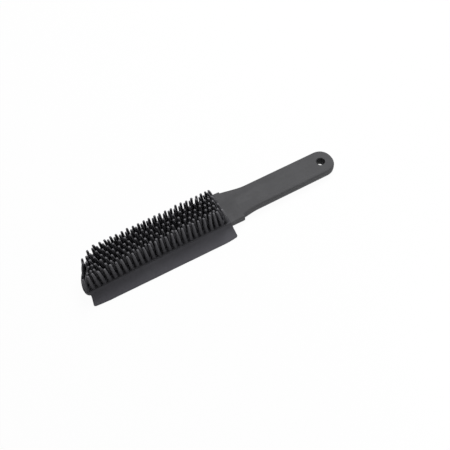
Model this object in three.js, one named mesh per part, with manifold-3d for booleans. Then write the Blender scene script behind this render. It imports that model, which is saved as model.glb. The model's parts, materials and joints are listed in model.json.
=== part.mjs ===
// Rubber grooming brush: a flat grip with a hanging hole, a flared neck and a head that carries seven
// staggered rows of tapered rubber pins and a drooping squeegee blade along its front side.
// Millimetres. The brush is drawn in its own frame (x towards the grip's end from the hanging hole,
// y away from the blade, z = 0 on the top face, pins upwards), and then laid down as it rests on a table:
// on the blade's edge and on the back lower edge of the head.

import * as THREE from 'three';
import { mergeVertices } from 'three/addons/utils/BufferGeometryUtils.js';
import Module from 'manifold-3d';

const wasm = await Module();
wasm.setup();

// Grip, neck and head, seen from above. Front and back of the head are measured from the middle row of pins.
const GRIP_LENGTH = 93.2;
const GRIP_WIDTH = 27.2;
const NECK_LENGTH = 32.5;
const NECK_FRONT_AT_HEAD = 17;
const NECK_BACK_AT_HEAD = 18.2;
const HEAD_LENGTH = 146.8;
const HEAD_FRONT = 18;
const HEAD_BACK = 19.2;
const NOSE_FRONT_RADIUS = 3.5;
const FRONT_SHOULDER_FROM_HEAD = 15.1;
const BACK_SHOULDER_FROM_HEAD = 6.4;
const HOLE_DIAMETER = 9;
const HOLE_FROM_END = 13.5;

// Thicknesses.
const BODY_THICKNESS = 9;
const EDGE_ROUND = 2.2;
const PAD_THICKNESS = 2.8;
const PAD_EDGE_ROUND = 0.8;

// Pins.
const ROWS_EACH_SIDE = 3;
const ROW_SPACING = 5;
const PIN_PITCH = 5.4;
const PIN_LENGTH = 20;
const PIN_BASE_DIAMETER = 3.6;
const PIN_TIP_DIAMETER = 2.2;
const PIN_RIM_MARGIN = 2;
const PIN_END_MARGIN = 3;
const PIN_ROOT_DEPTH = 0.6;
const RIM_LEAN = THREE.MathUtils.degToRad(8);
const RIM_LEAN_PINS = 2;

// Squeegee blade.
const BLADE_LENGTH = 145;
const BLADE_FROM_NOSE = 3.3;
const BLADE_REACH = 12.5;
const BLADE_ROOT_RADIUS = 2.1;
const BLADE_EDGE_THICKNESS = 1.8;
const BLADE_CORNER_RADIUS = 1.8;
const BLADE_STANDOFF = 0.6;
const BLADE_DROOP = THREE.MathUtils.degToRad(44);
const BLADE_SWING = THREE.MathUtils.degToRad(25);
const SWING_STEPS = 6;

// Stiffener inside.
const CORE_THICKNESS = 2.4;
const CORE_PADDLE_WIDTH = 22;
const CORE_TONGUE_WIDTH = 13;
const CORE_CORNER_RADIUS = 5;
const CORE_FROM_NOSE = 20;
const CORE_FROM_HEAD_END = 6;
const CORE_FROM_HOLE = 16;
const KEY_COUNT = 5;
const KEY_WINDOW_DIAMETER = 9;
const KEY_END_MARGIN = 14;

// Clearance between pieces that fit together.
const FIT_GAP = 0.3;

// How far cutting shapes run past what they cut, and how round things are faceted.
const OVERRUN = 5;
const ARC_STEPS = 10;
const HOLE_STEPS = 24;
const ROUND_STEPS = 3;

// Places along and across the brush that several pieces share.
const halfGrip = GRIP_WIDTH / 2;
const headWidth = HEAD_FRONT + HEAD_BACK;
const gripEnd = HOLE_FROM_END;
const neckStart = gripEnd - GRIP_LENGTH;
const headEnd = neckStart - NECK_LENGTH;
const nose = headEnd - HEAD_LENGTH;
const noseRadius = headWidth - NOSE_FRONT_RADIUS;
const noseCentre = new THREE.Vector2(nose + noseRadius, HEAD_BACK - noseRadius);
const noseFrontCentre = new THREE.Vector2(nose + NOSE_FRONT_RADIUS, NOSE_FRONT_RADIUS - HEAD_FRONT);

// Levels below the top face.
const padBottom = -PAD_THICKNESS;
const trayFloor = padBottom - FIT_GAP;
const coreTop = trayFloor;
const coreBottom = coreTop - CORE_THICKNESS;
const bladeAxis = new THREE.Vector2(-HEAD_FRONT - BLADE_STANDOFF, padBottom - FIT_GAP - BLADE_ROOT_RADIUS);

function solidOf(geometry) {
  const bare = geometry.index ? geometry.toNonIndexed() : geometry.clone();
  bare.deleteAttribute('normal');
  bare.deleteAttribute('uv');
  const merged = mergeVertices(bare, 1e-4);
  return new wasm.Manifold(new wasm.Mesh({
    numProp: 3,
    vertProperties: new Float32Array(merged.attributes.position.array),
    triVerts: new Uint32Array(merged.index.array),
  }));
}

function geometryOf(solid) {
  const mesh = solid.getMesh();
  const geometry = new THREE.BufferGeometry();
  geometry.setAttribute('position', new THREE.BufferAttribute(new Float32Array(mesh.vertProperties), 3));
  geometry.setIndex(new THREE.BufferAttribute(new Uint32Array(mesh.triVerts), 1));
  geometry.computeVertexNormals();
  return geometry;
}

// A flat piece of the given plan between two levels, with its top and bottom edges rounded if asked.
function slab(shape, low, high, round = 0) {
  const geometry = new THREE.ExtrudeGeometry(shape, {
    depth: high - low - 2 * round,
    bevelEnabled: round > 0,
    bevelSize: round,
    bevelThickness: round,
    bevelOffset: -round,
    bevelSegments: ROUND_STEPS,
    curveSegments: ARC_STEPS,
  });
  geometry.translate(0, 0, low + round);
  return solidOf(geometry);
}

// A straight bar along x whose section is drawn with shape x across the brush and shape y upwards.
function bar(section, from, to) {
  const geometry = new THREE.ExtrudeGeometry(section, {
    depth: to - from,
    bevelEnabled: false,
    curveSegments: ARC_STEPS,
  });
  geometry.applyMatrix4(new THREE.Matrix4().makeBasis(
    new THREE.Vector3(0, 1, 0),
    new THREE.Vector3(0, 0, 1),
    new THREE.Vector3(1, 0, 0),
  ));
  geometry.translate(from, 0, 0);
  return solidOf(geometry);
}

function rod(x, y, radius, low, high) {
  const geometry = new THREE.CylinderGeometry(radius, radius, high - low, HOLE_STEPS);
  geometry.rotateX(Math.PI / 2);
  geometry.translate(x, y, (low + high) / 2);
  return solidOf(geometry);
}

// The head's rim from its back end, round the nose, to its front end. The back corner of the nose is a wide
// arc and the front one is tight, so the front side is straight for the blade.
function drawHeadRim(shape, end) {
  shape.lineTo(end, HEAD_BACK);
  shape.absarc(noseCentre.x, noseCentre.y, noseRadius, Math.PI / 2, Math.PI, false);
  shape.absarc(noseFrontCentre.x, noseFrontCentre.y, NOSE_FRONT_RADIUS, Math.PI, Math.PI * 1.5, false);
  shape.lineTo(end, -HEAD_FRONT);
}

function headShape(end) {
  const shape = new THREE.Shape();
  shape.moveTo(end, -HEAD_FRONT);
  shape.lineTo(end, HEAD_BACK);
  drawHeadRim(shape, end);
  return shape;
}

// How far one side of the neck stands out, swelling from the grip towards the head along a smooth curve.
function neckReach(x, reachAtHead) {
  const t = THREE.MathUtils.clamp((neckStart - x) / NECK_LENGTH, 0, 1);
  return THREE.MathUtils.lerp(halfGrip, reachAtHead, t * t * (3 - 2 * t));
}

// One side of the neck as points from the grip to its shoulder, where the head's wider rim ends.
function neckSide(side, shoulder) {
  const reachAtHead = side < 0 ? NECK_FRONT_AT_HEAD : NECK_BACK_AT_HEAD;
  const rim = side < 0 ? HEAD_FRONT : HEAD_BACK;
  const points = [];
  for (let i = 0; i <= ARC_STEPS; i += 1) {
    const x = THREE.MathUtils.lerp(neckStart, shoulder, i / ARC_STEPS);
    points.push(new THREE.Vector2(x, side * neckReach(x, reachAtHead)));
  }
  points.push(new THREE.Vector2(shoulder, side * rim));
  return points;
}

function bodyShape() {
  const shape = new THREE.Shape();
  shape.moveTo(neckStart, -halfGrip);
  shape.absarc(gripEnd - halfGrip, 0, halfGrip, -Math.PI / 2, Math.PI / 2, false);
  for (const point of neckSide(1, headEnd + BACK_SHOULDER_FROM_HEAD)) {
    shape.lineTo(point.x, point.y);
  }
  drawHeadRim(shape, headEnd);
  for (const point of neckSide(-1, headEnd + FRONT_SHOULDER_FROM_HEAD).reverse()) {
    shape.lineTo(point.x, point.y);
  }
  return shape;
}

function roundedRectangle(left, bottom, right, top, radius) {
  const shape = new THREE.Shape();
  shape.moveTo(left + radius, bottom);
  shape.lineTo(right - radius, bottom);
  shape.absarc(right - radius, bottom + radius, radius, -Math.PI / 2, 0, false);
  shape.absarc(right - radius, top - radius, radius, 0, Math.PI / 2, false);
  shape.absarc(left + radius, top - radius, radius, Math.PI / 2, Math.PI, false);
  shape.absarc(left + radius, bottom + radius, radius, Math.PI, Math.PI * 1.5, false);
  return shape;
}

// The stiffener's paddle and tongue, grown by a clearance where they make the room that they lie in.
function coreBlank(low, high, clearance) {
  const paddleHalf = CORE_PADDLE_WIDTH / 2 + clearance;
  const tongueHalf = CORE_TONGUE_WIDTH / 2 + clearance;
  const paddleLeft = nose + CORE_FROM_NOSE - clearance;
  const paddleRight = headEnd - CORE_FROM_HEAD_END + clearance;
  const tongueEnd = -CORE_FROM_HOLE + clearance;
  const corner = CORE_CORNER_RADIUS + clearance;
  const paddle = slab(roundedRectangle(paddleLeft, -paddleHalf, paddleRight, paddleHalf, corner), low, high);
  const tongueLeft = (paddleLeft + paddleRight) / 2;
  const tongue = slab(roundedRectangle(tongueLeft, -tongueHalf, tongueEnd, tongueHalf, corner), low, high);
  return paddle.add(tongue);
}

// Centres of the round windows in the paddle, which the pad's keys fill.
function keyPlaces() {
  const left = nose + CORE_FROM_NOSE + KEY_END_MARGIN;
  const right = headEnd - CORE_FROM_HEAD_END - KEY_END_MARGIN;
  return Array.from({ length: KEY_COUNT }, (_, i) => THREE.MathUtils.lerp(left, right, i / (KEY_COUNT - 1)));
}

// The blade's section, turned about its axis from rest and grown by a clearance: a round root, flanks that
// taper, and an edge with eased corners.
function bladeSection(turn, clearance) {
  const along = new THREE.Vector2(-Math.cos(BLADE_DROOP), -Math.sin(BLADE_DROOP));
  along.rotateAround(new THREE.Vector2(), turn);
  const inward = new THREE.Vector2(-along.y, along.x);
  const point = (ahead, aside) => bladeAxis.clone()
    .addScaledVector(along, ahead)
    .addScaledVector(inward, aside);
  const rootRadius = BLADE_ROOT_RADIUS + clearance;
  const edgeHalf = BLADE_EDGE_THICKNESS / 2 + clearance;
  const reach = BLADE_REACH + clearance;
  const ease = edgeHalf / 2;
  const points = [point(0, -rootRadius), point(reach - ease, -edgeHalf), point(reach, -edgeHalf + ease)];
  points.push(point(reach, edgeHalf - ease), point(reach - ease, edgeHalf), point(0, rootRadius));
  for (let i = 1; i < ARC_STEPS; i += 1) {
    const angle = Math.PI / 2 + (Math.PI * i) / ARC_STEPS;
    points.push(point(rootRadius * Math.cos(angle), rootRadius * Math.sin(angle)));
  }
  return new THREE.Shape(points);
}

const bladeLeft = nose + BLADE_FROM_NOSE;
const bladeRight = bladeLeft + BLADE_LENGTH;

// Room for the blade's root and for its flanks through the whole swing.
function bladeRoom() {
  const rooms = [];
  for (let i = 0; i <= SWING_STEPS; i += 1) {
    const turn = THREE.MathUtils.lerp(-BLADE_SWING, BLADE_SWING, i / SWING_STEPS);
    rooms.push(bar(bladeSection(turn, FIT_GAP), bladeLeft - FIT_GAP, bladeRight + FIT_GAP));
  }
  return rooms.reduce((all, room) => all.add(room));
}

// Grip, neck and back of the head in one moulding, with the tray for the pad, the pocket for the stiffener,
// the cove for the blade and the hanging hole.
function handleBody() {
  const blank = slab(bodyShape(), -BODY_THICKNESS, 0, EDGE_ROUND);
  const trayEnd = headEnd + FIT_GAP;
  const tray = slab(
    roundedRectangle(nose - OVERRUN, -HEAD_FRONT - OVERRUN, trayEnd, HEAD_BACK + OVERRUN, FIT_GAP),
    trayFloor,
    OVERRUN,
  );
  const pocket = coreBlank(coreBottom - FIT_GAP, padBottom, FIT_GAP);
  const hole = rod(0, 0, HOLE_DIAMETER / 2, -BODY_THICKNESS - OVERRUN, OVERRUN);
  return blank.subtract(tray).subtract(pocket).subtract(bladeRoom()).subtract(hole);
}

function corePlate() {
  let plate = coreBlank(coreBottom, coreTop, 0);
  for (const x of keyPlaces()) {
    plate = plate.subtract(rod(x, 0, KEY_WINDOW_DIAMETER / 2, coreBottom - OVERRUN, coreTop + OVERRUN));
  }
  return plate;
}

function insideRim(x, y, margin) {
  if (x < noseCentre.x && y > noseCentre.y) {
    return Math.hypot(x - noseCentre.x, y - noseCentre.y) <= noseRadius - margin;
  }
  return x >= nose + margin;
}

// Feet of the pins: rows along the head, every second row shifted by half a pitch, kept inside the rim.
// Pins of the outer rows, and those that end a row, lean in over the head.
function pinFeet() {
  const feet = [];
  for (let row = -ROWS_EACH_SIDE; row <= ROWS_EACH_SIDE; row += 1) {
    const y = row * ROW_SPACING;
    const shift = (ROWS_EACH_SIDE - row) % 2 === 0 ? 0 : PIN_PITCH / 2;
    const places = [];
    for (let x = headEnd - PIN_END_MARGIN - shift; insideRim(x, y, PIN_RIM_MARGIN); x -= PIN_PITCH) {
      places.push(x);
    }
    const across = Math.abs(row) === ROWS_EACH_SIDE ? Math.sign(row) * RIM_LEAN : 0;
    const endLean = (fromEnd) => RIM_LEAN * Math.max(0, 1 - fromEnd / RIM_LEAN_PINS);
    places.forEach((x, i) => {
      feet.push({ x, y, across, along: endLean(places.length - 1 - i) - endLean(i) });
    });
  }
  return feet;
}

// A tapered pin of four sides, leaning across and along the head about its foot.
function pin({ x, y, across, along }) {
  const height = PIN_LENGTH + PIN_ROOT_DEPTH;
  const geometry = new THREE.CylinderGeometry(PIN_TIP_DIAMETER / 2, PIN_BASE_DIAMETER / 2, height, 4);
  geometry.rotateX(Math.PI / 2);
  geometry.translate(0, 0, height / 2 - PIN_ROOT_DEPTH);
  geometry.rotateX(across);
  geometry.rotateY(along);
  geometry.translate(x, y, 0);
  return solidOf(geometry);
}

// The head's soft top layer: a flat pad with its pins above and its keys below.
function bristlePad() {
  let pad = slab(headShape(headEnd), padBottom, 0, PAD_EDGE_ROUND);
  for (const x of keyPlaces()) {
    pad = pad.add(rod(x, 0, KEY_WINDOW_DIAMETER / 2 - FIT_GAP, coreBottom, padBottom / 2));
  }
  for (const foot of pinFeet()) {
    pad = pad.add(pin(foot));
  }
  return pad;
}

// The blade, with the two free corners of its edge rounded.
function squeegeeBlade() {
  const blade = bar(bladeSection(0, 0), bladeLeft, bladeRight);
  const trim = new THREE.ExtrudeGeometry(
    roundedRectangle(bladeLeft, -headWidth, bladeRight, BLADE_REACH, BLADE_CORNER_RADIUS),
    { depth: headWidth, bevelEnabled: false, curveSegments: ARC_STEPS },
  );
  trim.translate(0, 0, -headWidth / 2);
  trim.rotateX(Math.PI + BLADE_DROOP);
  trim.translate(0, bladeAxis.x, bladeAxis.y);
  return blade.intersect(solidOf(trim));
}

function piece(name, solid, colour, roughness) {
  const material = new THREE.MeshStandardMaterial({ color: colour, roughness, metalness: 0 });
  const mesh = new THREE.Mesh(geometryOf(solid), material);
  mesh.name = name;
  return mesh;
}

// How far the brush leans back when it lies on the blade's edge and on the back lower edge of the head.
function restLean() {
  const backEdge = new THREE.Vector2(HEAD_BACK - EDGE_ROUND, -BODY_THICKNESS);
  const leans = bladeSection(0, 0).getPoints().map((p) => Math.atan2(backEdge.y - p.y, backEdge.x - p.x));
  return Math.max(...leans);
}

const brush = new THREE.Group();
brush.add(
  piece('handle_body', handleBody(), 0x454547, 0.62),
  piece('core_plate', corePlate(), 0x1f1f21, 0.5),
  piece('bristle_pad', bristlePad(), 0x38383a, 0.65),
  piece('squeegee_blade', squeegeeBlade(), 0x414143, 0.62),
);
brush.rotation.x = -restLean();

// The origin is under the middle of the brush, on the table.
const box = new THREE.Box3().setFromObject(brush, true);
const middle = box.getCenter(new THREE.Vector3());
brush.position.set(-middle.x, -middle.y, -box.min.z);

const part = new THREE.Group();
part.add(brush);

export default part;
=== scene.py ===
"""Rubber grooming brush: rubber skins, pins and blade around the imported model, on a plain studio stage."""

import json
import math
import random
from functools import partial

import bmesh
import bpy
import numpy as np
from bpy.props import FloatProperty, FloatVectorProperty, IntProperty, PointerProperty
from bpy.types import Operator, Panel, PropertyGroup
from mathutils import Matrix, Vector, noise
from mathutils.geometry import delaunay_2d_cdt
from numpy.linalg import norm


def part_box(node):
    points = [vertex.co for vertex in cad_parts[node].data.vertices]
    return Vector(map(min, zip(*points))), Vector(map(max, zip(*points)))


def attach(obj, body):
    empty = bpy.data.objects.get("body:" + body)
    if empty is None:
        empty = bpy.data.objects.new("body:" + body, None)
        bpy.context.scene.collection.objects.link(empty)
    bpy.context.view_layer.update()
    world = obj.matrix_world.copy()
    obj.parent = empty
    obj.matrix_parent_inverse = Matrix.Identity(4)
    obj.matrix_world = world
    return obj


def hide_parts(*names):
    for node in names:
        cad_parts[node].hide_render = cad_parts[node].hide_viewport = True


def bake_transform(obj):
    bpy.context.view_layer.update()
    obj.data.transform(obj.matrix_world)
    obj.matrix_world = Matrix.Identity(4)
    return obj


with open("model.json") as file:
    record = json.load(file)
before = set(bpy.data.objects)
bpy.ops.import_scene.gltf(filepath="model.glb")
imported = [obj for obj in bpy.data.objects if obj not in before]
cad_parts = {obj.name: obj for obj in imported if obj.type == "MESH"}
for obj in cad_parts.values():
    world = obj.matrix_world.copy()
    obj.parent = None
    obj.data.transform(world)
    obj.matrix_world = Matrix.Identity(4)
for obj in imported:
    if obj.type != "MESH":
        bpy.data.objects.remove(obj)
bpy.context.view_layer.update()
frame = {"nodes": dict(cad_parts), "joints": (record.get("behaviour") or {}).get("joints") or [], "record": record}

bl_info = {
    "name": "Rubber grooming brush",
    "version": (1, 0, 0),
    "blender": (4, 5, 0),
    "location": "View3D > Sidebar > Brush",
    "description": "Builds the rubber pieces of a grooming brush around its packed model",
    "category": "Object",
}


def named(entries, name):
    """The entry of a record's list that has this name."""
    return next(entry for entry in entries if entry["name"] == name)


# The brush's own frame: x towards the grip's end from the hanging hole, y away from the blade, z up from the
# top face. The record's mount on the grip says how the brush leans as it lies on the table.
GRIP_TOP = named(frame["record"]["mounts"], "grip_top")
HOLE_ROOM = named(frame["record"]["physics"]["openings"], "hanging_hole")["box_m"]
BLADE_JOINT = named(frame["joints"], "blade_flex")
UP = Vector(GRIP_TOP["axis"]).normalized()
ALONG = Vector((1, 0, 0))
ACROSS = UP.cross(ALONG)
ORIGIN = Vector(((HOLE_ROOM[0][0] + HOLE_ROOM[1][0]) / 2, *GRIP_TOP["pos_m"][1:]))
PLACE = Matrix.Translation(ORIGIN) @ Matrix((ALONG, ACROSS, UP)).transposed().to_4x4()

# Ends of the solids along the brush, and the blade's hinge line, in that frame.
GRIP_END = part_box("handle_body")[1].x - ORIGIN.x
NOSE, HEAD_END = (corner.x - ORIGIN.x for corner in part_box("bristle_pad"))
BLADE_LEFT, BLADE_RIGHT = (corner.x - ORIGIN.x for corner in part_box("squeegee_blade"))
BLADE_HINGE = np.array((PLACE.inverted() @ Vector(BLADE_JOINT["pos_m"])).yz)

# Level way ahead of the brush, away from its back, across and up in that frame.
AHEAD = np.array((PLACE.to_3x3().inverted() @ Vector((0, -1, 0))).yz)

# Where the blade's sweep leaves the edge in place, from nose to grip, and how far in its ends are shaped.
SWEEP_LEVEL = 0.45
END_RUN = 0.016

# The blade's joins, across from the head's front and up from its top or its back: where the face leaves the
# pad's edge and starts down, where the blade's back meets the head's lower edge, and how it turns in there.
# Then the turns of its rounded edge, in degrees, and the steps of each stretch.
PAD_JOIN = (0.0014, -0.0003)
PAD_JOIN_PULL = (-0.0011, -0.00008)
FACE_START = (-0.00015, -0.0017)
FACE_START_PULL = 0.0009
FACE_PULL = 0.36
WEB_START = 0.0032
WEB_PULL = 0.0009
BACK_JOIN = (0.001, 0.00065)
BACK_JOIN_PULL = (-0.001, -0.00008)
BACK_TURN_IN = (0.0006, 0.0012)
BEHIND_WALL = (0.0016, -0.0022)
EDGE_TURNS = (20, 45, 70, 90)
JOIN_STEPS, FACE_STEPS, BACK_STEPS, WEB_STEPS = 9, 16, 9, 7

# Stations in from the blade's ends, how many lie between them, how far from its edge the blade takes up its
# stray, the stray's waves as share, waves to the metre and place in the noise, and the span of the bend.
END_STATIONS = (0, 0.00008, 0.0002, 0.0006, 0.001, 0.0014)
MIDDLE_STATIONS = 74
STRAY_RUN = 0.006
STRAY_WAVES = ((1, 60, 0.3, 0.7), (0.5, 210, 4.1, 0.2))
BEND_FROM = -0.0015
BEND_TO = 0.006

# How many pins from the nose and from the pad's end lean in, where across the head the nose's lean is fullest
# and how far aside it is felt, and how far from the nose the front row takes up its lean and its inset.
NOSE_LEAN_PINS = 2
NOSE_LEAN_MIDDLE = -0.004
NOSE_LEAN_WIDTH = 0.0205
END_LEAN_PINS = 3
RIM_LEAN_RUN = 0.09

# Rings of a pin: shares of its foot's rise and of its shaft, angles up its domed tip and the dome's height in
# tip radii. Then the room that its foot and its flare leave to the rim.
FOOT_RINGS = (0, 0.15, 0.35, 0.65, 1)
SHAFT_RINGS = (0.2, 0.4, 0.6, 0.78, 0.9, 1)
DOME_RINGS = (0.45, 0.85, 1.2)
DOME = 0.7
FOOT_ROOM = 0.0003
FLARE_ROOM = 0.00015

# How unequal the pins are, and how a pin's colour grows from painted shade at its foot to its tip, which is rubbed
# and also painted lighter as if lit from above.
TIP_SPREAD = (0.92, 1.06)
HEIGHT_SPREAD = (0.965, 1.01)
TIP_WEAR_AND_LIGHT_POWER = 1.3

# How far past the pad's end the grip's edges take up their full rounding.
FRONT_ROUND_RUN = 0.016

# Half the height of the mould's parting line, and its shape: places down the wall and how far they stand out.
PARTING_HEIGHT = 0.00035
PARTING_SHAPE = ((1, 0), (0.4, 0.75), (0, 1), (-0.4, 0.75), (-1, 0))

# How finely the skins are meshed, the room between the pad's own points and its rim and pins, and what counts
# as one point.
EDGE_STEP = 0.0011
FACE_STEP = 0.0026
BACK_STEP = FACE_STEP * 1.5
HOLE_STEP = EDGE_STEP * 0.7
PAD_STEP = 0.0018
PAD_CLEAR = 0.0016
HIDDEN_STEP = 0.006
RING_ROOM = 0.0001
LATTICE_ROOM = 0.0004
WELD = 2e-6
SAME_POINT = 1e-8
SHARP_ANGLE = math.radians(42)
ROUND_SHARES = (0.02, 0.08, 0.18, 0.32, 0.5, 0.72, 1.0)

# How near to its own depth a point of an inset ring has to lie, and how many points are measured at a time.
INSET_TRUE = 0.97
BATCH = 2000

# Height of the narrow bands that keep a wall's shading apart from the rounded edge above it.
EDGE_BAND = 0.00012

# The rubber: noises in features to the metre, stops of its masks, shades of its mottling, depth of its grain,
# how much lighter the grip is at its rubbed edges and with painted light on its walls, how much lighter the blade
# grows towards its edge, how dusty each piece is and how it shines.
MOTTLE, CLOUD, FLOW, BLOOM = 150, 34, 260, 62
EVEN_STOPS = ((0.3, 0), (0.7, 1))
PIT_STOPS = ((0.36, 0), (0.5, 1))
BLOOM_STOPS = ((0.52, 0), (0.74, 1))
MOTTLE_SHADES = (0.84, 1.16)
GRAIN_DEPTH = 0.00006
GRIP_RUBBED_AND_LIT, BLADE_EDGE_LIGHTER = 1.5, 1.35
GRIP_DUST, PAD_DUST, BLADE_DUST = 0.22, 0.12, 0.15
GRIP_SHEEN, HEAD_SHEEN = 0.12, 0.2

# The stiffener's plastic, likewise.
PLASTIC_CLOUD, PLASTIC_GRAIN = 45, 3200
PLASTIC_SHADES = (0.8, 1.25)
PLASTIC_DEPTH = 0.00003

# The stage: the camera, half the floor's side, the lamps and what they point at, and what sees the white.
CAMERA_PLACE = (-0.09113, -0.18109, 0.43072)
CAMERA_TURN = tuple(math.radians(turn) for turn in (24.925, -0.415, -28.52))
FLOOR_HALF = 3.0
KEY_PLACE, KEY_SIZE = (0.467, 0.392, 0.975), 0.5
SIDE_PLACE, SIDE_SIZE = (0.18, -0.28, 0.095), 0.2
LAMP_TARGET = (-0.02, 0, 0)
SENSOR_WIDTH, CLIP_START = 36, 0.01
WHITE = (1, 1, 1, 1)
WHITE_RAYS = ("Is Camera Ray", "Is Glossy Ray", "Is Transmission Ray")


def setting(kind, label, text, default, **limits):
    """One setting of a property group."""
    return kind(name=label, description=text, default=default, **limits)


# Kinds of setting, with sizes in metres.
length = partial(setting, FloatProperty, min=0, precision=5, unit="LENGTH")
share = partial(setting, FloatProperty, min=0, max=1, subtype="FACTOR")
colour = partial(setting, FloatVectorProperty, min=0, max=1, size=3, subtype="COLOR")
whole = partial(setting, IntProperty)
number = partial(setting, FloatProperty, min=0)
vector = partial(setting, FloatVectorProperty)


def angle(label, text, degrees):
    """A setting for an angle."""
    return setting(FloatProperty, label, text, math.radians(degrees), subtype="ANGLE")


class BodySizes(PropertyGroup):
    """Sizes of the grip, neck and head."""

    grip_width: length("Grip width", "Width of the straight grip", 0.0273)
    neck_length: length("Neck length", "From the grip's straight part to the pad", 0.0325)
    neck_front: length("Neck front", "From the middle line to the neck's front side at the head", 0.0174)
    neck_back: length("Neck back", "From the middle line to the neck's back side at the head", 0.0182)
    head_front: length("Head front", "From the middle row of pins to the front of the head", 0.018)
    head_back: length("Head back", "From the middle row of pins to the back of the head", 0.0195)
    nose_front_radius: length("Nose corner", "Radius of the nose beside the blade", 0.0052)
    front_shoulder: length("Front shoulder", "How far the front rim runs on past the pad", 0.0151)
    back_shoulder: length("Back shoulder", "How far the back rim runs on past the pad", 0.0064)
    shoulder_round: length("Shoulder rounding", "Radius of the shoulders' corners", 0.0006)
    end_trim: length("End trim", "How far the grip's end is drawn in from a half circle", 0.0003)
    end_squareness: number("End squareness", "Two for a round grip end, more for a squarer one", 2.2, min=2)
    hole_diameter: length("Hole", "Diameter of the hanging hole", 0.009)
    hole_round: length("Hole rounding", "Radius of the hole's rims", 0.0004)
    hole_draft: length("Hole draft", "How much narrower the hole is at the back", 0.0019)
    thickness: length("Thickness", "Thickness of the body", 0.009)
    pad_thickness: length("Pad thickness", "Thickness of the layer that carries the pins", 0.0028)
    grip_round: length("Grip rounding", "Radius of the grip's top edge at the back", 0.0008)
    front_round: length("Front rounding", "How far in the grip's top edge is rounded at the front", 0.002)
    front_drop: length("Front drop", "How far down the grip's top edge is rounded at the front", 0.0024)
    head_round: length("Head rounding", "Radius of the pad's top edges", 0.0008)
    back_round: length("Back rounding", "Radius of the grip's lower edges", 0.0019)
    head_back_round: length("Head back rounding", "Radius of the head's lower edges", 0.0026)
    grip_crown: length("Grip crown", "How far the grip's top falls from its middle to its edges", 0.0009)
    head_crown: length("Head crown", "How far the pad's top falls from its middle to its edges", 0.0002)
    crown_rise: share("Crown rise", "How much of the grip's crown stands above the flat top", 0.33)
    seam: length("Seam", "Width of the line between pad and body", 0.0001)
    parting: length("Parting line", "How far the mould's parting line stands out", 0.00014)


class PinSizes(PropertyGroup):
    """Sizes and places of the pins."""

    rows_each_side: whole("Rows each side", "Rows beside the middle row", 3, min=1)
    row_spacing: length("Row spacing", "Between two rows of pins", 0.005)
    pitch: length("Pitch", "Between two pins of a row", 0.0054)
    height: length("Height", "From the pad to the tips", 0.0206)
    foot_diameter: length("Foot diameter", "Thickness at the foot", 0.0036)
    tip_diameter: length("Tip diameter", "Thickness at the tip", 0.0022)
    foot_flare: length("Foot flare", "How far the foot spreads on the pad", 0.0006)
    foot_rise: length("Foot rise", "How far up the foot's flare runs", 0.002)
    rim_margin: length("Rim margin", "Least room from a pin to the rim", 0.0026)
    end_margin: length("End margin", "From the first pins to the pad's end", 0.003)
    rim_lean: angle("Rim lean", "How far the pins of the back row lean in", 7.5)
    front_lean: angle("Front lean", "How far the pins of the front row lean in", 5.6)
    front_inset: length("Front inset", "How far in the feet of the front row stand", 0.0007)
    nose_lean: angle("Nose lean", "How far the pins at the nose lean in", 15)
    nose_tilt: angle("Nose tilt", "How far all pins at the nose lean towards the blade", 2.8)
    end_lean: angle("End lean", "How far the pins at the pad's end lean in", 9.5)
    stray: angle("Stray", "How unevenly the pins stand", 0.9)
    bend: share("Bend", "How much of a pin's lean is a bend near its tip", 0.6)
    sides: whole("Sides", "Facets round a pin", 12, min=6)
    seed: whole("Seed", "Start of the uneven stand of the pins", 11, min=0)


class BladeSizes(PropertyGroup):
    """Sizes of the squeegee blade."""

    droop: angle("Droop", "Angle of the blade below the top face", 44)
    reach: length("Reach", "From the hinge line to the edge", 0.0125)
    root_thickness: length("Root thickness", "Thickness at the hinge line", 0.0042)
    edge_thickness: length("Edge thickness", "Thickness at the edge", 0.0018)
    edge_round: length("Edge rounding", "Radius along the edge", 0.0005)
    corner_radius: length("Corner radius", "Radius of the two free corners", 0.0018)
    end_round: length("End rounding", "Radius along the two ends", 0.00035)
    root_trim: length("Root trim", "How far the root ends short of the solid's ends", 0.0008)
    nose_flare: length("Nose flare", "How far the edge runs past the solid at the nose", 0.0017)
    end_fall: length("End fall", "How far the edge draws back at its two ends", 0.0011)
    sweep: length("Sweep", "How much further the edge stands out at the grip than at the nose", 0.0014)
    unevenness: length("Unevenness", "How far the edge strays from straight", 0.00012)
    root_slope: angle("Root slope", "Angle of the face below the pad", 80)
    edge_slope: angle("Edge slope", "Angle of the face at its edge", 34)


class RubberFinish(PropertyGroup):
    """Colours and surface of the rubber."""

    grip: colour("Grip", "Colour of the handle", (0.069, 0.069, 0.0722))
    # The pad and the pins' feet are darker than the grip as painted shade between the pins, and the tips are
    # lighter, partly rubbed and partly painted light as if lit from above.
    pad: colour("Pad", "Colour of the pad and the pins' feet", (0.0455, 0.045, 0.051))
    tips: colour("Pin tips", "Colour of the rubbed pin tips", (0.162, 0.161, 0.171))
    blade: colour("Blade", "Colour of the blade", (0.069, 0.068, 0.077))
    dust: colour("Dust", "Colour of the fine bloom on the rubber", (0.16, 0.16, 0.165))
    core: colour("Core", "Colour of the stiffener inside", (0.03, 0.03, 0.032))
    roughness: share("Roughness", "Roughness of the moulded rubber", 0.62)
    grain: length("Grain", "Size of the moulded grain", 0.0005)


class StageSetup(PropertyGroup):
    """Camera, lamps and floor."""

    camera_place: vector("Camera place", "Where the camera stands", CAMERA_PLACE, subtype="TRANSLATION")
    camera_turn: vector("Camera turn", "How the camera is turned", CAMERA_TURN, subtype="EULER")
    lens: number("Lens", "Focal length on a 36 mm sensor", 39.28, unit="CAMERA")
    key_power: number("Key lamp", "Power of the large lamp behind and above", 14.5, unit="POWER")
    side_power: number("Side lamp", "Power of the lamp in front", 0.24, unit="POWER")
    ambient: number("Ambient", "Light from all round", 0.03)
    floor: colour("Floor", "Colour of the floor", (0.86, 0.86, 0.86))
    floor_glow: share("Floor white", "How far the floor's own shade gives way to white", 0.965)


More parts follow.
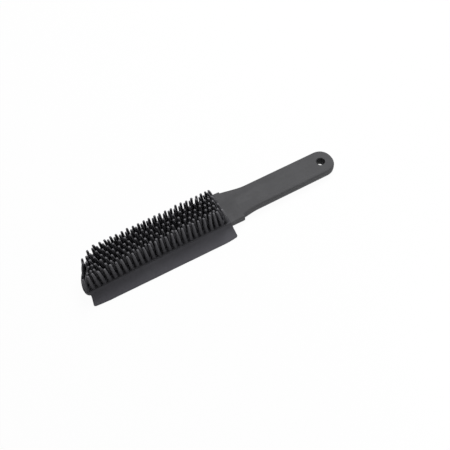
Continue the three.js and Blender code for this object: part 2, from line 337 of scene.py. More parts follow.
class BrushSetup(PropertyGroup):
    """All settings of the brush."""

    body: PointerProperty(type=BodySizes, name="Body", description="Grip, neck and head")
    pins: PointerProperty(type=PinSizes, name="Pins", description="Pins on the pad")
    blade: PointerProperty(type=BladeSizes, name="Blade", description="Squeegee blade")
    rubber: PointerProperty(type=RubberFinish, name="Rubber", description="Colours and surface")
    stage: PointerProperty(type=StageSetup, name="Stage", description="Camera, lamps and floor")


# Plans: closed loops of points seen from above.


def smooth(t):
    """Zero to one with level ends."""
    t = np.clip(t, 0, 1)
    return t * t * (3 - 2 * t)


def run(start, end):
    """Points of a straight run, without its last one."""
    start, end = np.array(start), np.array(end)
    count = max(1, math.ceil(norm(end - start) / EDGE_STEP))
    return [start + (end - start) * i / count for i in range(count)]


def arc(centre, radius, first, last, step=EDGE_STEP):
    """Points of an arc between two angles in degrees, without its last one."""
    first, last = math.radians(first), math.radians(last)
    count = max(4, math.ceil(abs(last - first) * radius / step))
    turns = [first + (last - first) * i / count for i in range(count)]
    return [np.array((centre[0] + radius * math.cos(a), centre[1] + radius * math.sin(a))) for a in turns]


def distance_to(loop, points):
    """Shortest distance from each point to a closed loop."""
    sides = np.roll(loop, -1, axis=0) - loop
    square = np.maximum((sides**2).sum(axis=1), SAME_POINT**2)
    nearest = np.zeros(len(points))
    for first in range(0, len(points), BATCH):
        part = points[first : first + BATCH, None, :] - loop[None, :, :]
        t = np.clip((part * sides).sum(axis=2) / square, 0, 1)
        gap = norm(part - t[:, :, None] * sides, axis=2)
        nearest[first : first + BATCH] = gap.min(axis=1)
    return nearest


def inside(loop, points):
    """Whether each point lies inside a closed loop."""
    ahead = np.roll(loop, -1, axis=0)
    within = np.zeros(len(points), bool)
    for (x0, y0), (x1, y1) in zip(loop, ahead):
        if y0 == y1:
            continue
        crosses = (points[:, 1] < y0) != (points[:, 1] < y1)
        within ^= crosses & (points[:, 0] < x0 + (points[:, 1] - y0) * (x1 - x0) / (y1 - y0))
    return within


def outward(loop):
    """Unit steps to the right of a closed loop, which lead out of one that runs anticlockwise."""
    ahead = np.roll(loop, -1, axis=0) - np.roll(loop, 1, axis=0)
    away = np.stack((ahead[:, 1], -ahead[:, 0]), axis=1)
    return away / norm(away, axis=1)[:, None]


def inset(loop, depths):
    """Copies of a loop at several depths to its left, less the points that come too near to it."""
    away = outward(loop)
    kept = []
    for depth in depths:
        ring = loop - away * depth
        kept.append(ring[distance_to(loop, ring) > INSET_TRUE * depth])
    return np.vstack(kept)


def lattice(loop, step, clear):
    """Staggered points inside a loop, with some room to its edge."""
    low = loop.min(axis=0)
    high = loop.max(axis=0)
    points = []
    for k, y in enumerate(np.arange(low[1] + step / 2, high[1], step * math.sqrt(0.75))):
        points += [(x + (k % 2) * step / 2, y) for x in np.arange(low[0], high[0], step)]
    points = np.array(points)
    points = points[inside(loop, points)]
    return points[distance_to(loop, points) > clear]


def fill(loops, extra):
    """Triangles between an outer loop and the round loops inside it, through some extra points."""
    points = np.vstack([*loops, extra])
    edges = []
    owner = []
    for index, loop in enumerate(loops):
        first = len(owner)
        edges += [(first + i, first + (i + 1) % len(loop)) for i in range(len(loop))]
        owner += [index] * len(loop)
    owner += [0] * len(extra)
    inside_loops = 1
    corners = [Vector(p) for p in points]
    _, _, faces, sources, *_ = delaunay_2d_cdt(corners, edges, [], inside_loops, SAME_POINT)
    origins = [source[0] for source in sources]
    owners = [owner[origin] for origin in origins]
    shown = [face for face in faces if not (owners[face[0]] == owners[face[1]] == owners[face[2]] > 0)]
    return points[origins], shown


def rounding(depth, radius, drop=None):
    """How far a rounded edge lies below its face at some depth in from the edge."""
    t = 1 - np.clip(depth / radius, 0, 1)
    return (radius if drop is None else drop) * (1 - np.sqrt(1 - t * t))


class BrushPlan:
    """The brush from above: its outline in two parts, which meet where the pad ends, and its heights."""

    def __init__(self, body):
        self.body = body
        self.half_grip = body.grip_width / 2
        self.neck_start = HEAD_END + body.neck_length
        self.nose_radius = body.head_front + body.head_back - body.nose_front_radius
        self.nose_centre = np.array((NOSE + self.nose_radius, body.head_back - self.nose_radius))
        self.grip_side = np.array(self.draw_grip_side())
        self.head_side = np.array(self.draw_head_side(HEAD_END))
        self.outline = np.vstack((self.grip_side[:-1], self.head_side[:-1]))

    def neck_reach(self, x, side):
        """How far one side of the neck stands out, which swells from the grip towards the head."""
        t = smooth((self.neck_start - x) / self.body.neck_length)
        at_head = self.body.neck_front if side < 0 else self.body.neck_back
        return self.half_grip + (at_head - self.half_grip) * float(t)

    def draw_shoulder(self, x, side):
        """The step from the neck out to the head's rim, from the neck outwards."""
        radius = self.body.shoulder_round
        neck = self.neck_reach(x + radius, side)
        rim = self.body.head_front if side < 0 else self.body.head_back
        points = arc((x + radius, neck + radius), radius, 270, 180)
        points += run((x, neck + radius), (x, rim - radius))
        points += arc((x - radius, rim - radius), radius, 0, 90)
        return [np.array((p[0], side * p[1])) for p in points]

    def draw_neck(self, x, side):
        """One side of the neck from the grip to its shoulder."""
        places = run((self.neck_start, 0), (x, 0))
        return [np.array((at, side * self.neck_reach(at, side))) for at, _ in places]

    def draw_grip_end(self):
        """The grip's end from front to back: a half circle, a little squarer and drawn in."""
        centre = np.array((GRIP_END - self.half_grip, 0))
        reach = np.array((self.half_grip - self.body.end_trim, self.half_grip))
        exponent = 2 / self.body.end_squareness
        circle = arc((0, 0), 1, -90, 90, EDGE_STEP / self.half_grip)
        return [centre + reach * np.sign(p) * np.abs(p) ** exponent for p in circle]

    def draw_grip_side(self):
        """The outline from the front of the pad's end, round the grip, to the back of the pad's end."""
        front = HEAD_END + self.body.front_shoulder
        back = HEAD_END + self.body.back_shoulder
        radius = self.body.shoulder_round
        rim = self.body.head_back
        points = run((HEAD_END, -self.body.head_front), (front - radius, -self.body.head_front))
        points += self.draw_shoulder(front, -1)[::-1]
        points += self.draw_neck(front + radius, -1)[::-1]
        points += run((self.neck_start, -self.half_grip), (GRIP_END - self.half_grip, -self.half_grip))[1:]
        points += self.draw_grip_end()
        points += run((GRIP_END - self.half_grip, self.half_grip), (self.neck_start, self.half_grip))
        points += self.draw_neck(back + radius, 1)
        points += self.draw_shoulder(back, 1)
        points += run((back - radius, rim), (HEAD_END, rim))
        return points + [np.array((HEAD_END, rim))]

    def draw_head_side(self, end):
        """The outline from the back of the pad's end, round the nose, to the front of the pad's end."""
        corner = self.body.nose_front_radius
        front = -self.body.head_front
        points = run((end, self.body.head_back), (self.nose_centre[0], self.body.head_back))
        points += arc(self.nose_centre, self.nose_radius, 90, 180)
        points += arc((NOSE + corner, corner + front), corner, 180, 270)
        points += run((NOSE + corner, front), (end, front))
        return points + [np.array((end, front))]

    def draw_cut(self, x):
        """The line across the brush at the pad's end, front to back, with close points at both ends."""
        edges = [self.body.head_round * s for s in (0, *ROUND_SHARES)]
        front = [e - self.body.head_front for e in edges]
        back = [self.body.head_back - e for e in edges[::-1]]
        middle = np.linspace(front[-1], back[0], math.ceil((back[0] - front[-1]) / FACE_STEP))[1:-1]
        return np.array([(x, y) for y in (*front, *middle, *back)])

    def hole(self):
        """The hanging hole's loop."""
        return np.array(arc((0, 0), self.body.hole_diameter / 2, 0, 360, HOLE_STEP))

    def depth(self, points):
        """How far in from the outline each point lies."""
        return distance_to(self.outline, points)

    def top(self, points):
        """Height of the top face, with its rounded edges and its crown."""
        body = self.body
        depth = self.depth(points)
        grip = smooth((points[:, 0] - HEAD_END) / FRONT_ROUND_RUN)
        front = smooth(-points[:, 1] / self.half_grip)
        at_back = body.head_round + (body.grip_round - body.head_round) * grip
        inwards = at_back + (body.front_round - at_back) * grip * front
        downwards = at_back + (body.front_drop - at_back) * grip * front
        crown = body.head_crown + (body.grip_crown - body.head_crown) * grip
        fall = crown * (1 - np.clip(depth / self.half_grip, 0, 1)) ** 2
        rise = body.grip_crown * body.crown_rise * grip
        return rise - rounding(depth, inwards, downwards) - fall

    def back_radius(self, points):
        """Radius of the lower edges, which is larger on the head."""
        grip = smooth((points[:, 0] - HEAD_END) / FRONT_ROUND_RUN)
        return self.body.head_back_round + (self.body.back_round - self.body.head_back_round) * grip

    def wear(self, points, radius):
        """Rubbing along the rounded edges: one at the outline, none on the open face."""
        return 1 - np.clip(self.depth(points) / radius, 0, 1)


def raised(points, heights):
    """Flat points with their heights."""
    return np.column_stack((points, np.broadcast_to(heights, len(points))))


def linked(name, data):
    """A new object in the scene."""
    made = bpy.data.objects.new(name, data)
    bpy.context.scene.collection.objects.link(made)
    return made


class Skin:
    """Points, faces and mix of rubbing and painted light of one rubber piece, gathered in the brush's own frame.
    """

    def __init__(self):
        self.points, self.faces, self.wear = [], [], []

    def add(self, points, faces, wear):
        """Adds faces over their own points."""
        first = len(self.points)
        self.points.extend(tuple(p) for p in points)
        self.faces.extend(tuple(first + i for i in face) for face in faces)
        self.wear.extend(float(w) for w in np.broadcast_to(wear, len(points)))

    def wall(self, rings, wear, closed=True):
        """Adds a band of quads from each row of points to the next."""
        count = len(rings[0])
        spans = [(i, (i + 1) % count) for i in range(count if closed else count - 1)]
        faces = []
        for low in range(0, count * (len(rings) - 1), count):
            high = low + count
            faces += [(low + i, low + j, high + j, high + i) for i, j in spans]
        self.add(np.vstack(rings), faces, np.concatenate([np.broadcast_to(w, count) for w in wear]))

    def piece(self, name, material):
        """The welded mesh as an object in the row's frame."""
        mesh = bpy.data.meshes.new(name)
        mesh.from_pydata([PLACE @ Vector(p) for p in self.points], [], self.faces)
        mesh.attributes.new("wear", "FLOAT", "POINT").data.foreach_set("value", self.wear)
        knit = bmesh.new()
        knit.from_mesh(mesh)
        bmesh.ops.remove_doubles(knit, verts=knit.verts, dist=WELD)
        bmesh.ops.recalc_face_normals(knit, faces=knit.faces)
        knit.to_mesh(mesh)
        knit.free()
        mesh.shade_smooth()
        mesh.set_sharp_from_angle(angle=SHARP_ANGLE)
        mesh.materials.append(material)
        return linked(name, mesh)


# Finishes.


class Value:
    """A shader socket that adds Math nodes when it stands in an expression."""

    def __init__(self, finish, socket):
        self.finish = finish
        self.socket = socket

    def maths(self, operation, first, second):
        return self.finish.node("ShaderNodeMath", {"operation": operation}, {0: first, 1: second})

    def __add__(self, other):
        return self.maths("ADD", self, other)

    __radd__ = __add__

    def __sub__(self, other):
        return self.maths("SUBTRACT", self, other)

    def __rsub__(self, other):
        return self.maths("SUBTRACT", other, self)

    def __mul__(self, other):
        return self.maths("MULTIPLY", self, other)

    __rmul__ = __mul__


class Finish:
    """The node tree of a material or of the world, cleared and ready for its own nodes."""

    def __init__(self, owner):
        owner.use_nodes = True
        self.tree = owner.node_tree
        self.tree.nodes.clear()

    def node(self, kind, settings=None, sockets=None, output=0):
        """Adds a node, its settings first and then its sockets' values or links, and gives one output."""
        made = self.tree.nodes.new(kind)
        for key, setting in (settings or {}).items():
            if key == "stops":
                self.set_stops(made.color_ramp, setting)
            else:
                setattr(made, key, setting)
        for key, value in (sockets or {}).items():
            if isinstance(value, Value):
                self.tree.links.new(value.socket, made.inputs[key])
            else:
                made.inputs[key].default_value = value
        return Value(self, made.outputs[output]) if made.outputs else None

    @staticmethod
    def set_stops(ramp, stops):
        """Gives a colour ramp its grey stops."""
        while len(ramp.elements) < len(stops):
            ramp.elements.new(0.5)
        for element, (place, grey) in zip(ramp.elements, stops):
            element.position = place
            element.color = (grey, grey, grey, 1)

    def noise(self, place, scale, detail, roughness=0.55):
        """Cloudy noise with this many features to the metre."""
        sockets = {"Vector": place, "Scale": scale, "Detail": detail, "Roughness": roughness}
        return self.node("ShaderNodeTexNoise", {}, sockets, "Fac")

    def ramp(self, value, stops):
        """A value taken through grey stops."""
        return self.node("ShaderNodeValToRGB", {"stops": stops}, {"Fac": value})

    def mix(self, factor, first, second):
        """A colour between two colours."""
        sockets = {0: factor, 6: first, 7: second}
        return self.node("ShaderNodeMix", {"data_type": "RGBA"}, sockets, 2)

    def cover(self, kind, sockets, output="ShaderNodeOutputMaterial"):
        """Ends the tree with one shader."""
        self.node(output, {}, {"Surface": self.node(kind, {}, sockets)})


def shade(tint, level):
    """A colour made lighter or darker, with its alpha."""
    return (tint[0] * level, tint[1] * level, tint[2] * level, 1)


def moulded_rubber(name, base, worn_and_lit, rubber, dustiness, sheen):
    """Dark rubber: fine moulded grain, cloudy mottling, a lighter shade for rubbing and for painted light, and a
    faint bloom of dust.
    """
    material = bpy.data.materials.new(name)
    finish = Finish(material)
    place = finish.node("ShaderNodeTexCoord", output="Object")
    wear = finish.node("ShaderNodeAttribute", {"attribute_name": "wear"}, output="Fac")
    mottle = finish.noise(place, MOTTLE, 4.0)
    cloud = finish.noise(place, CLOUD, 2.0)
    grain = finish.noise(place, 1 / rubber.grain, 2.0, 0.5)
    pits = finish.ramp(finish.noise(place, 0.45 / rubber.grain, 1.0), PIT_STOPS)
    lengthwise = {"Vector": place, "Scale": (0.12, 1.0, 1.0)}
    drawn = finish.node("ShaderNodeMapping", {}, lengthwise)
    flow = finish.noise(drawn, FLOW, 2.0)
    patch = mottle * 0.5 + cloud * 0.3 + flow * 0.2
    ground = finish.mix(finish.ramp(patch, EVEN_STOPS), *(shade(base, level) for level in MOTTLE_SHADES))
    # Lighter where the mix is high: real rubbing at the edges, painted light on the grip's walls and the pins'
    # tips; on the pad, where it is nought, the dark pad colour is painted shade.
    rubbed_and_lit = finish.mix(wear * (0.45 + 0.55 * mottle), ground, shade(worn_and_lit, 1))
    bloom = finish.ramp(finish.noise(place, BLOOM, 5.0, 0.65), BLOOM_STOPS) * dustiness
    tint = finish.mix(bloom * (0.4 + 0.6 * grain), rubbed_and_lit, shade(rubber.dust, 1))
    rough = rubber.roughness - 0.06 + 0.14 * mottle + 0.1 * bloom - 0.05 * wear
    relief = grain * 0.6 + pits * 0.4
    bump = finish.node("ShaderNodeBump", {}, {"Strength": 0.35, "Distance": GRAIN_DEPTH, "Height": relief})
    sockets = {"Base Color": tint, "Roughness": rough, "Specular IOR Level": sheen, "Normal": bump}
    finish.cover("ShaderNodeBsdfPrincipled", sockets)
    return material


def satin_plastic(name, base):
    """The stiffener's plastic: fine satin with faint flow marks."""
    material = bpy.data.materials.new(name)
    finish = Finish(material)
    place = finish.node("ShaderNodeTexCoord", output="Object")
    cloud = finish.noise(place, PLASTIC_CLOUD, 3.0)
    grain = finish.noise(place, PLASTIC_GRAIN, 2.0)
    tint = finish.mix(finish.ramp(cloud, EVEN_STOPS), *(shade(base, level) for level in PLASTIC_SHADES))
    rough = 0.4 + 0.16 * cloud
    bump = finish.node("ShaderNodeBump", {}, {"Strength": 0.2, "Distance": PLASTIC_DEPTH, "Height": grain})
    finish.cover("ShaderNodeBsdfPrincipled", {"Base Color": tint, "Roughness": rough, "Normal": bump})
    return material


# Pieces.


def body_wall(plan):
    """Rows of points down the side wall, with the mould's parting line half way."""
    body = plan.body
    high = np.minimum(-body.pad_thickness - body.seam, plan.top(plan.outline))
    low = -body.thickness + plan.back_radius(plan.outline)
    middle = (high + low) / 2
    half = np.minimum(PARTING_HEIGHT, (high - low) / 2)
    away = outward(plan.outline)
    rows = [raised(plan.outline, high), raised(plan.outline, high - EDGE_BAND)]
    for place, stand in PARTING_SHAPE:
        rows.append(raised(plan.outline + away * body.parting * stand, middle + half * place))
    return [*rows, raised(plan.outline, low)]


def pierced_face(plan, loop, rim, step, radii):
    """Triangles of a face with the hanging hole in it, how far the hole's rim falls, and how much lighter the face
    is along its edges and the hole's rim.
    """
    ease = plan.body.hole_round
    edge = norm(rim[0])
    rings = inset(loop, sorted(radius * s for radius in radii for s in ROUND_SHARES))
    rim_rings = inset(rim[::-1], [ease * s for s in ROUND_SHARES[1:]])
    rows = lattice(loop, step, max(radii) + step / 2)
    rows = rows[norm(rows, axis=1) > edge + ease + FACE_STEP / 2]
    flat, faces = fill([loop, rim], np.vstack((rings, rim_rings, rows)))
    fall = rounding(norm(flat, axis=1) - edge, ease)
    return flat, faces, fall, np.maximum(plan.wear(flat, radii[0]), fall / ease)


def handle_skin(setup):
    """The grip and neck with their crowned top, the base below the pad, the side wall and the flat back."""
    body = setup.body
    plan = BrushPlan(body)
    skin = Skin()
    hole = plan.hole()
    cut = plan.draw_cut(HEAD_END)
    tray = -body.pad_thickness - body.seam
    back_hole = hole * (1 - body.hole_draft / body.hole_diameter)

    top_loop = np.vstack((plan.grip_side, cut[::-1][1:-1]))
    radii = (body.grip_round, body.front_round)
    flat, faces, fall, wear = pierced_face(plan, top_loop, hole, FACE_STEP, radii)
    skin.add(raised(flat, plan.top(flat) - fall), faces, wear)

    head_loop = np.vstack((plan.head_side, cut[1:-1]))
    flat, faces = fill([head_loop], lattice(head_loop, HIDDEN_STEP, HIDDEN_STEP / 2))
    skin.add(raised(flat, tray), faces, 1)
    cut_wear_and_painted_light = plan.wear(cut, body.grip_round)
    edge = plan.top(cut)
    levels = (edge, np.maximum(tray, edge - EDGE_BAND), tray)
    skin.wall([raised(cut, level) for level in levels], [cut_wear_and_painted_light, 1, 1], closed=False)

    back = -body.thickness
    radii = (body.back_round, body.head_back_round)
    flat, faces, fall, wear = pierced_face(plan, plan.outline, back_hole, BACK_STEP, radii)
    rise = rounding(plan.depth(flat), plan.back_radius(flat)) + fall
    skin.add(raised(flat, back + rise), faces, wear)

    # The side walls and the hole's wall take the full lighter shade: painted light that keeps them nearly as
    # bright as the top.
    rows = body_wall(plan)
    skin.wall(rows, [1] * len(rows))
    edge = plan.top(plan.grip_side)
    wall_top = np.minimum(tray, edge)
    levels = (edge, np.maximum(wall_top, edge - EDGE_BAND), wall_top)
    skin.wall([raised(plan.grip_side, level) for level in levels], [1] * len(levels), closed=False)
    rim_top = raised(hole, plan.top(hole) - body.hole_round)
    rim_back = raised(back_hole, np.full(len(hole), back + body.hole_round))
    skin.wall([rim_top, (rim_top + rim_back) / 2, rim_back], [1, 1, 1])

    rubber = setup.rubber
    worn_and_lit = shade(rubber.grip, GRIP_RUBBED_AND_LIT)
    finish = moulded_rubber("grip_rubber", rubber.grip, worn_and_lit, rubber, GRIP_DUST, GRIP_SHEEN)
    made = skin.piece("handle_skin", finish)
    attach(made, "brush")
    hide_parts("handle_body")


def pin_feet(plan, pins):
    """Feet and leans of the pins, row by row, with every second row shifted by half a pitch."""
    reach = plan.nose_radius - pins.rim_margin

    def inside_rim(x, y):
        if x < plan.nose_centre[0] and y > plan.nose_centre[1]:
            return math.hypot(x - plan.nose_centre[0], y - plan.nose_centre[1]) <= reach
        return x >= NOSE + pins.rim_margin

    feet = []
    rows = pins.rows_each_side
    for row in range(-rows, rows + 1):
        y = row * pins.row_spacing
        x = HEAD_END - pins.end_margin - (pins.pitch / 2 if (rows - row) % 2 else 0)
        places = []
        while inside_rim(x, y):
            places.append(x)
            x -= pins.pitch
        for count, place in enumerate(places):
            run_in = float(smooth((place - NOSE) / RIM_LEAN_RUN))
            along, across = pin_lean(run_in, row, count, len(places) - 1 - count, pins)
            inset_y = pins.front_inset * run_in if row == -rows else 0
            feet.append((place, y + inset_y, along, across))
    return feet


def pin_lean(run_in, row, from_end, from_nose, pins):
    """How a pin leans along and across the head: in from the nose, the pad's end and the long sides."""
    turn = (row * pins.row_spacing - NOSE_LEAN_MIDDLE) / NOSE_LEAN_WIDTH * math.pi / 2
    nose = pins.nose_lean * math.cos(min(max(turn, -math.pi / 2), math.pi / 2)) ** 2
    along = nose * max(0, 1 - from_nose / NOSE_LEAN_PINS)
    along -= pins.end_lean * max(0, 1 - from_end / END_LEAN_PINS)
    if row == -pins.rows_each_side:
        return along, pins.front_lean * run_in
    tilt = pins.nose_tilt * (1 - run_in)
    return along, -tilt - (pins.rim_lean if row == pins.rows_each_side else 0)


def pin_rings(foot, plan, pins, draw):
    """Rings of one pin from its flared foot to its domed tip, each ring's mix from painted shade at the foot to
    rubbing and painted light at the tip, and the tip.
    """
    x, y, lean_along, lean_across = foot
    room = float(plan.depth(np.array([(x, y)]))[0])
    root = min(pins.foot_diameter / 2, room - FOOT_ROOM)
    flare = min(root + pins.foot_flare, room - FLARE_ROOM)
    tip = pins.tip_diameter / 2 * draw.uniform(*TIP_SPREAD)
    height = pins.height * draw.uniform(*HEIGHT_SPREAD)
    along = math.tan(lean_along + draw.gauss(0, pins.stray)) * height
    across = math.tan(lean_across + draw.gauss(0, pins.stray)) * height
    rise = pins.foot_rise
    shape = [(rise * s, root + (flare - root) * (1 - s) ** 2) for s in FOOT_RINGS]
    shaft = height - DOME * tip
    shape += [(rise + (shaft - rise) * s, root + (tip - root) * s) for s in SHAFT_RINGS]
    shape += [(shaft + DOME * tip * math.sin(a), tip * math.cos(a)) for a in DOME_RINGS]
    turns = np.linspace(0, 2 * math.pi, pins.sides, endpoint=False) + draw.uniform(0, 1)
    floor = plan.top(np.array([(x + flare * math.cos(a), y + flare * math.sin(a)) for a in turns]))
    rings = []
    wear = []
    for level, radius in shape:
        t = level / height
        sway = (1 - pins.bend) * t + pins.bend * t * t
        heights = level + floor * (1 - smooth(level / rise))
        centre = np.array((x + along * sway, y + across * sway))
        circle = centre + radius * np.stack((np.cos(turns), np.sin(turns)), axis=1)
        rings.append(raised(circle, heights))
        wear.append(t**TIP_WEAR_AND_LIGHT_POWER)
    apex = np.array((x + along, y + across, height))
    return rings, wear, apex


def pin_pad(setup):
    """The pad with its rounded rim and all its pins in one closed skin."""
    body = setup.body
    pins = setup.pins
    plan = BrushPlan(body)
    skin = Skin()
    draw = random.Random(pins.seed)
    grown = [pin_rings(foot, plan, pins, draw) for foot in pin_feet(plan, pins)]
    bases = [rings[0][:, :2] for rings, _, _ in grown]

    end = HEAD_END - body.seam
    side = np.array(plan.draw_head_side(end))
    loop = np.vstack((side, plan.draw_cut(end)[1:-1]))
    rings = inset(loop, [body.head_round * s for s in ROUND_SHARES])
    rows = lattice(loop, PAD_STEP, PAD_CLEAR)
    room = np.repeat((RING_ROOM, LATTICE_ROOM), (len(rings), len(rows)))
    rows = np.vstack((rings, rows))
    centres = np.array([base.mean(axis=0) for base in bases])
    radii = np.array([norm(base - centre, axis=1).max() for base, centre in zip(bases, centres)])
    gaps = norm(rows[:, None, :] - centres[None, :, :], axis=2) - radii
    rows = rows[gaps.min(axis=1) > room]
    flat, faces = fill([loop, *bases], rows)
    # The pad's top keeps its dark colour, as painted shade between the pins; up each pin the colour lightens to
    # the tip, which is rubbed and also painted light as if lit from above.
    skin.add(raised(flat, plan.top(flat)), faces, 0)

    for rings, wear, apex in grown:
        skin.wall(rings, wear)
        count = len(rings[-1])
        skin.add(np.vstack((rings[-1], apex)), [(i, (i + 1) % count, count) for i in range(count)], 1)

    under = -body.pad_thickness
    flat, faces = fill([loop], lattice(loop, HIDDEN_STEP, HIDDEN_STEP / 2))
    skin.add(raised(flat, under), faces, 0)
    edge = plan.top(loop)
    levels = (edge, edge - EDGE_BAND, under + EDGE_BAND, under)
    skin.wall([raised(loop, level) for level in levels], [0] * len(levels))

    rubber = setup.rubber
    finish = moulded_rubber("pin_rubber", rubber.pad, rubber.tips, rubber, PAD_DUST, HEAD_SHEEN)
    made = skin.piece("pin_pad", finish)
    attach(made, "brush")
    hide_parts("bristle_pad")


def curve(points, count):
    """Points of a cubic curve through four control points, without the last one."""
    a, b, c, d = (np.array(p) for p in points)
    ts = [i / count for i in range(count)]
    return [a * (1 - t) ** 3 + 3 * b * t * (1 - t) ** 2 + 3 * c * t * t * (1 - t) + d * t**3 for t in ts]


def blade_profile(blade, body):
    """The blade's section across the brush: out of the pad's edge, down its face, round its edge and back."""

    def downwards(slope):
        return np.array((-math.cos(slope), -math.sin(slope)))

    down = downwards(blade.droop)
    out = np.array((down[1], -down[0]))
    half_root = blade.root_thickness / 2
    half_edge = blade.edge_thickness / 2
    ease = blade.edge_round

    def at(ahead, aside):
        return BLADE_HINGE + down * ahead + out * aside

    def flank(ahead, side):
        return at(ahead, side * (half_root + (half_edge - half_root) * ahead / blade.reach))

    def edge_arc(turn, side):
        a = math.radians(turn)
        return at(blade.reach - ease + ease * math.sin(a), side * (half_edge - ease + ease * math.cos(a)))

    head = np.array((-body.head_front, 0))
    pad_join = head + PAD_JOIN
    face_start = head + FACE_START
    face_end = flank(blade.reach - ease, 1)
    root_way = downwards(blade.root_slope)
    edge_way = downwards(blade.edge_slope)
    above_face = face_start - root_way * FACE_START_PULL
    points = curve((pad_join, pad_join + PAD_JOIN_PULL, above_face, face_start), JOIN_STEPS)
    span = norm(face_end - face_start) * FACE_PULL
    pulls = (face_start + root_way * span, face_end - edge_way * span)
    points += curve((face_start, *pulls, face_end), FACE_STEPS)
    points.append(face_end)
    points += [edge_arc(turn, 1) for turn in EDGE_TURNS]
    points += [edge_arc(turn, -1) for turn in EDGE_TURNS[::-1]]
    points += [flank(ahead, -1) for ahead in np.linspace(blade.reach - ease, WEB_START, BACK_STEPS)[:-1]]
    back_join = head + (0, -body.thickness) + BACK_JOIN
    web_start = flank(WEB_START, -1)
    web_turn = flank(WEB_START - WEB_PULL, -1)
    points += curve((web_start, web_turn, back_join + BACK_JOIN_PULL, back_join), WEB_STEPS)
    points += [back_join, back_join + BACK_TURN_IN, head + BEHIND_WALL]
    return np.array(points), down, out


def squeegee_blade(setup):
    """The drooping lip along the head's front, which grows out of the pad's edge."""
    blade = setup.blade
    profile, down, out = blade_profile(blade, setup.body)
    ahead = (profile - BLADE_HINGE) @ down
    aside = (profile - BLADE_HINGE) @ out
    corner = blade.corner_radius
    from_end = sorted((*END_STATIONS, blade.end_round, corner))
    stations = [BLADE_LEFT + e for e in from_end]
    stations += list(np.linspace(BLADE_LEFT + corner, BLADE_RIGHT - corner, MIDDLE_STATIONS)[1:-1])
    stations += [BLADE_RIGHT - e for e in from_end[::-1]]
    hold = blade.reach - STRAY_RUN
    beyond = np.clip((ahead - hold) / STRAY_RUN, 0, 1)
    middle = (BLADE_LEFT + BLADE_RIGHT) / 2

    rings = []
    for x in stations:
        e = min(x - BLADE_LEFT, BLADE_RIGHT - x)
        stray = sum(part * noise.noise(Vector((x * waves, *at))) for part, waves, *at in STRAY_WAVES)
        near_end = max(0, 1 - e / END_RUN) ** 2
        drawn = rounding(e, corner) + blade.end_fall * near_end + blade.unevenness * abs(stray)
        reached = np.minimum(ahead, hold) + beyond * (STRAY_RUN - drawn)
        thick = aside * (1 - rounding(e, blade.end_round) / (blade.edge_thickness / 2))
        section = BLADE_HINGE + np.outer(reached, down) + np.outer(thick, out)
        along = np.clip(reached / blade.reach, 0, 1)
        swing = (x - BLADE_LEFT) / (BLADE_RIGHT - BLADE_LEFT) - SWEEP_LEVEL
        section += np.outer(blade.sweep * swing * along**2, AHEAD)
        at_nose = x < middle
        flare = blade.nose_flare * along if at_nose else 0
        past = near_end * (flare - blade.root_trim * (1 - along))
        rings.append(np.column_stack((x - past if at_nose else x + past, section)))

    skin = Skin()
    # Lighter towards the blade's edge.
    wear = np.clip(ahead / blade.reach, 0, 1)
    skin.wall(rings, [wear] * len(rings))
    for ring in (rings[0], rings[-1]):
        skin.add(ring, [tuple(range(len(ring)))], wear)

    rubber = setup.rubber
    worn_and_lit = shade(rubber.blade, BLADE_EDGE_LIGHTER)
    finish = moulded_rubber("blade_rubber", rubber.blade, worn_and_lit, rubber, BLADE_DUST, HEAD_SHEEN)
    made = skin.piece("blade_lip", finish)
    start = PLACE @ Vector((middle, *(BLADE_HINGE + down * BEND_FROM)))
    end = PLACE @ Vector((middle, *(BLADE_HINGE + down * BEND_TO)))
    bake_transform(made)
    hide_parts("squeegee_blade")


def core_plate(setup):
    """The stiffener inside keeps its shape and gets its satin plastic."""
    plate = frame["nodes"]["core_plate"]
    plastic = satin_plastic("core_plastic", setup.rubber.core)
    for place in plate.material_slots:
        place.material = plastic


def white_in_view(finish, plain, glow_kind, share_of_white):
    """Sockets of a mix that gives way to white where the camera, a gloss or a clear piece looks at it."""
    seen = [finish.node("ShaderNodeLightPath", output=ray) for ray in WHITE_RAYS]
    total = {0: seen[0] + seen[1] + seen[2], 1: 1.0}
    capped = finish.node("ShaderNodeMath", {"operation": "MINIMUM"}, total)
    glow = finish.node(glow_kind, {}, {"Color": WHITE, "Strength": 1.0})
    return {0: capped * share_of_white, 1: plain, 2: glow}


def lamp(name, place, size, watts):
    """A square soft lamp that points at the brush."""
    data = bpy.data.lights.new(name, "AREA")
    data.size = size
    data.energy = watts
    made = linked(name, data)
    made.location = place
    made.rotation_mode = "QUATERNION"
    made.rotation_quaternion = (Vector(LAMP_TARGET) - Vector(place)).to_track_quat("-Z", "Y")


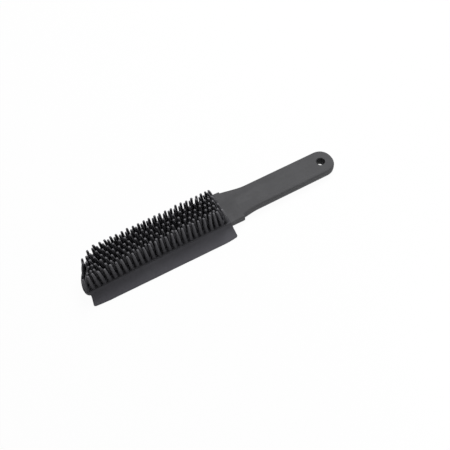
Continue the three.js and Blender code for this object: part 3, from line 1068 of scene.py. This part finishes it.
def studio_stage(setup):
    """Pale floor, soft light and the camera at the photograph's angle."""
    stage = setup.stage
    scene = bpy.context.scene
    scene.view_settings.view_transform = "Standard"

    mesh = bpy.data.meshes.new("floor")
    corners = [(x * FLOOR_HALF, y * FLOOR_HALF, 0) for x, y in ((-1, -1), (1, -1), (1, 1), (-1, 1))]
    mesh.from_pydata(corners, [], [(0, 1, 2, 3)])
    floor = linked("floor", mesh)
    material = bpy.data.materials.new("pale_floor")
    finish = Finish(material)
    matt = finish.node("ShaderNodeBsdfDiffuse", {}, {"Color": shade(stage.floor, 1)})
    sockets = white_in_view(finish, matt, "ShaderNodeEmission", stage.floor_glow)
    finish.cover("ShaderNodeMixShader", sockets)
    mesh.materials.append(material)

    world = bpy.data.worlds.new("studio")
    scene.world = world
    finish = Finish(world)
    around = finish.node("ShaderNodeBackground", {}, {"Color": WHITE, "Strength": stage.ambient})
    sockets = white_in_view(finish, around, "ShaderNodeBackground", 1.0)
    finish.cover("ShaderNodeMixShader", sockets, "ShaderNodeOutputWorld")

    lamp("key_lamp", KEY_PLACE, KEY_SIZE, stage.key_power)
    lamp("side_lamp", SIDE_PLACE, SIDE_SIZE, stage.side_power)

    data = bpy.data.cameras.new("camera")
    data.sensor_width = SENSOR_WIDTH
    data.lens = stage.lens
    data.clip_start = CLIP_START
    camera = linked("camera", data)
    camera.location = stage.camera_place
    camera.rotation_euler = stage.camera_turn
    scene.camera = camera


# The add-on.


class GROOMING_BRUSH_OT_handle(Operator):
    """Builds the rubber handle over its solid"""

    bl_idname = "grooming_brush.handle"
    bl_label = "Handle"

    def execute(self, context):
        handle_skin(context.scene.grooming_brush)
        return {"FINISHED"}


class GROOMING_BRUSH_OT_pins(Operator):
    """Builds the pad and its pins over their solid"""

    bl_idname = "grooming_brush.pins"
    bl_label = "Pins"

    def execute(self, context):
        pin_pad(context.scene.grooming_brush)
        return {"FINISHED"}


class GROOMING_BRUSH_OT_blade(Operator):
    """Builds the squeegee blade over its solid"""

    bl_idname = "grooming_brush.blade"
    bl_label = "Blade"

    def execute(self, context):
        squeegee_blade(context.scene.grooming_brush)
        return {"FINISHED"}


class GROOMING_BRUSH_OT_core(Operator):
    """Gives the stiffener its plastic"""

    bl_idname = "grooming_brush.core"
    bl_label = "Core"

    def execute(self, context):
        core_plate(context.scene.grooming_brush)
        return {"FINISHED"}


class GROOMING_BRUSH_OT_stage(Operator):
    """Sets up the floor, the lamps and the camera"""

    bl_idname = "grooming_brush.stage"
    bl_label = "Stage"

    def execute(self, context):
        studio_stage(context.scene.grooming_brush)
        return {"FINISHED"}


OPERATORS = (
    GROOMING_BRUSH_OT_stage,
    GROOMING_BRUSH_OT_handle,
    GROOMING_BRUSH_OT_pins,
    GROOMING_BRUSH_OT_blade,
    GROOMING_BRUSH_OT_core,
)


class GROOMING_BRUSH_PT_sidebar(Panel):
    """Lists the steps that build the brush"""

    bl_idname = "GROOMING_BRUSH_PT_sidebar"
    bl_label = "Grooming brush"
    bl_space_type = "VIEW_3D"
    bl_region_type = "UI"
    bl_category = "Brush"

    def draw(self, context):
        for operator in OPERATORS:
            self.layout.operator(operator.bl_idname)


GROUPS = (BodySizes, PinSizes, BladeSizes, RubberFinish, StageSetup, BrushSetup)
CLASSES = (*GROUPS, *OPERATORS, GROOMING_BRUSH_PT_sidebar)


def register():
    """Registers the classes and the scene's settings."""
    for cls in CLASSES:
        bpy.utils.register_class(cls)
    bpy.types.Scene.grooming_brush = PointerProperty(type=BrushSetup)


def unregister():
    """Takes them away again."""
    del bpy.types.Scene.grooming_brush
    for cls in reversed(CLASSES):
        bpy.utils.unregister_class(cls)


def main():
    """Builds the brush."""
    register()
    bpy.ops.grooming_brush.stage()
    bpy.ops.grooming_brush.handle()
    bpy.ops.grooming_brush.pins()
    bpy.ops.grooming_brush.blade()
    bpy.ops.grooming_brush.core()


if __name__ == "__main__":
    main()
